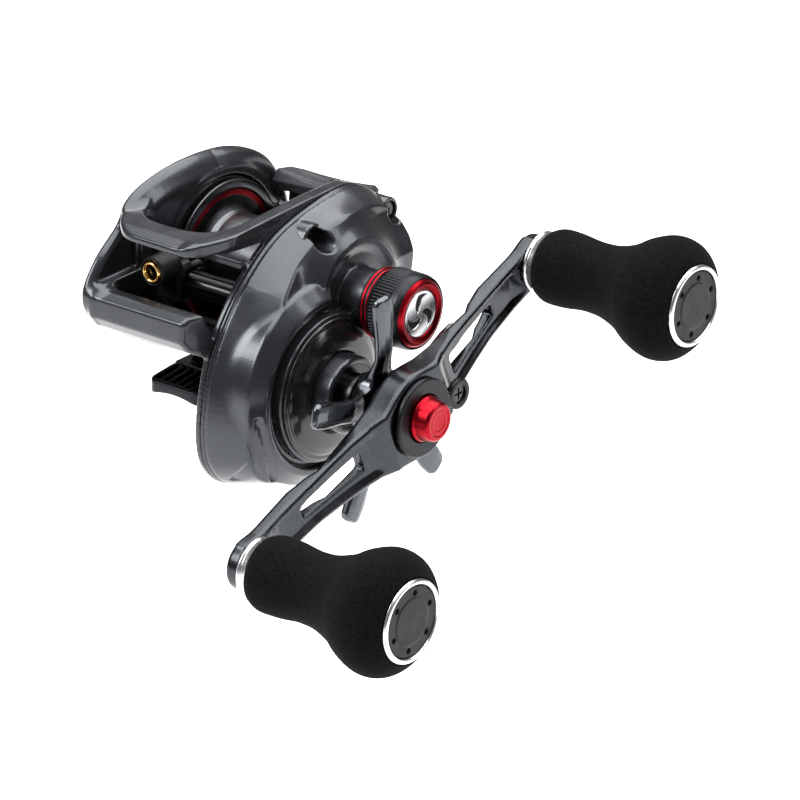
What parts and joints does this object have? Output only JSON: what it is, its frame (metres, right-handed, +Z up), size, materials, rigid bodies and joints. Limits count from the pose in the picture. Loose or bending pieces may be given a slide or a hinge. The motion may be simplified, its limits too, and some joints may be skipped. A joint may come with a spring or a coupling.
{
  "type": "baitcasting fishing reel",
  "caption": "Low-profile baitcasting fishing reel with a left-hand double crank, star drag, level wind, thumb clutch bar and removable palm cover.",
  "frame": {"origin": "crown of the reel foot's underside, where it rests on a rod's reel seat, straight below the spool axis and midway between the spool's flanges", "axes": "+X towards the crank side (the angler's left), -Y the way the line leaves, +Z up from the rod"},
  "size_m": [0.1115, 0.1219, 0.0715],
  "materials": {
    "gunmetal": "cast aluminium, dark gunmetal metallic paint, glossy",
    "black_metal": "aluminium, black anodised, satin",
    "stainless": "turned stainless steel",
    "blackened_steel": "blackened hardened steel",
    "gloss_black": "gloss black",
    "black_plastic": "moulded black plastic",
    "silver": "polished aluminium",
    "white_plastic": "moulded plastic",
    "gold_ring": "polished gold-coloured hard ring",
    "brass": "cut brass",
    "carbon": "woven carbon fibre",
    "dark_steel": "aluminium, dark gunmetal anodised, bright edges",
    "red_anodised": "red anodised aluminium",
    "foam": "closed-cell black foam, fine grained"
  },
  "bodies": {
    "frame": {"frame_body": "gunmetal", "reel_foot": "black_metal", "reel_foot_screws": "stainless", "handle_side_plate": "gunmetal", "side_plate_screws": "blackened_steel", "gear_cover_disc": "gloss_black", "gear_side_bearings": "stainless", "roller_clutch": "blackened_steel", "worm_guard": "blackened_steel", "worm_bushings": "white_plastic", "gear_case_pins": "stainless", "yoke_springs": "stainless"},
    "drive": {"drive_shaft": "stainless", "level_wind_drive_gear": "white_plastic", "main_gear": "brass", "drag_carbon_washers": "carbon", "drag_key_washer": "stainless", "clutch_sleeve": "blackened_steel", "drag_spring_washers": "blackened_steel", "handle_arm": "dark_steel", "nut_retainer": "dark_steel", "retainer_screw": "blackened_steel", "handle_nut": "red_anodised", "knob_shafts": "stainless", "knob_screws": "stainless"},
    "star": {"star_drag": "dark_steel", "star_nut": "brass"},
    "rear_knob": {"rear_knob_sleeve": "silver", "rear_knob_grip": "foam", "rear_knob_end_ring": "silver", "rear_knob_cap": "black_plastic", "rear_knob_bearings": "stainless"},
    "front_knob": {"front_knob_sleeve": "silver", "front_knob_grip": "foam", "front_knob_end_ring": "silver", "front_knob_cap": "black_plastic", "front_knob_bearings": "stainless"},
    "spool": {"spool_body": "black_metal", "spool_shaft": "stainless", "clutch_pin": "stainless", "brake_rotor": "black_plastic", "brake_blocks": "white_plastic"},
    "clutch": {"clutch_bar": "black_plastic", "clutch_cam": "black_plastic"},
    "yoke": {"clutch_yoke": "black_plastic"},
    "pinion": {"pinion_gear": "brass"},
    "idler": {"idle_gear": "white_plastic"},
    "worm": {"worm_shaft": "stainless", "worm_gear": "white_plastic"},
    "carriage": {"line_guide": "black_plastic", "guide_eye": "gold_ring", "guide_pawl": "brass"},
    "cast_control": {"cast_knob": "black_metal", "cast_knob_trim_rings": "red_anodised", "cast_knob_badge": "silver"},
    "palm_cover": {"palm_side_cover": "gunmetal", "brake_race": "silver", "palm_bearing": "stainless"},
    "palm_lock": {"palm_cover_lock": "black_plastic"},
    "brake_control": {"brake_dial": "black_metal"}
  },
  "joints": [
    {"name": "handle_turn", "type": "hinge", "parent": "frame", "child": "drive", "pos_m": [0.04, -0.01345, 0.00346], "axis": [1, 0, 0], "continuous": true},
    {"name": "star_turn", "type": "hinge", "parent": "drive", "child": "star", "pos_m": [0.041, -0.01345, 0.00346], "axis": [1, 0, 0], "range_deg": [-180, 180]},
    {"name": "rear_knob_spin", "type": "hinge", "parent": "drive", "child": "rear_knob", "pos_m": [0.065, 0.03406, 0.02201], "axis": [1, 0, 0], "continuous": true},
    {"name": "front_knob_spin", "type": "hinge", "parent": "drive", "child": "front_knob", "pos_m": [0.065, -0.06096, -0.01508], "axis": [1, 0, 0], "continuous": true},
    {"name": "spool_spin", "type": "hinge", "parent": "frame", "child": "spool", "pos_m": [0, 0, 0.0195], "axis": [1, 0, 0], "continuous": true},
    {"name": "clutch_press", "type": "slide", "parent": "frame", "child": "clutch", "axis": [0, 0, -1], "range_m": [0, 0.0038]},
    {"name": "yoke_slide", "type": "slide", "parent": "frame", "child": "yoke", "axis": [1, 0, 0], "range_m": [0, 0.002], "deforming": ["yoke_springs"]},
    {"name": "pinion_spin", "type": "hinge", "parent": "yoke", "child": "pinion", "pos_m": [0.02, 0, 0.0195], "axis": [1, 0, 0], "continuous": true},
    {"name": "idler_spin", "type": "hinge", "parent": "frame", "child": "idler", "pos_m": [0.017, -0.0245, 0.01448], "axis": [1, 0, 0], "continuous": true},
    {"name": "worm_spin", "type": "hinge", "parent": "frame", "child": "worm", "pos_m": [0, -0.022, 0.0225], "axis": [1, 0, 0], "continuous": true},
    {"name": "line_guide_travel", "type": "slide", "parent": "frame", "child": "carriage", "axis": [1, 0, 0], "range_m": [-0.0032, 0.0138]},
    {"name": "cast_control_turn", "type": "hinge", "parent": "frame", "child": "cast_control", "pos_m": [0.038, 0, 0.0195], "axis": [1, 0, 0], "range_deg": [-270, 270]},
    {"name": "palm_cover_off", "type": "slide", "parent": "frame", "child": "palm_cover", "axis": [-1, 0, 0], "range_m": [0, 0.03]},
    {"name": "palm_lock_slide", "type": "slide", "parent": "palm_cover", "child": "palm_lock", "axis": [0, 1, 0], "range_m": [0, 0.0024]},
    {"name": "brake_dial_turn", "type": "hinge", "parent": "palm_cover", "child": "brake_control", "pos_m": [-0.021, 0, 0.0195], "axis": [1, 0, 0], "range_deg": [-150, 150]}
  ],
  "couplings": [
    {"joint": "spool_spin", "follows": "handle_turn", "ratio": -5.5},
    {"joint": "pinion_spin", "follows": "handle_turn", "ratio": -5.5},
    {"joint": "idler_spin", "follows": "handle_turn", "ratio": -1.8889},
    {"joint": "worm_spin", "follows": "handle_turn", "ratio": 3.4},
    {"joint": "yoke_slide", "follows": "clutch_press", "ratio": 0.5263}
  ]
}
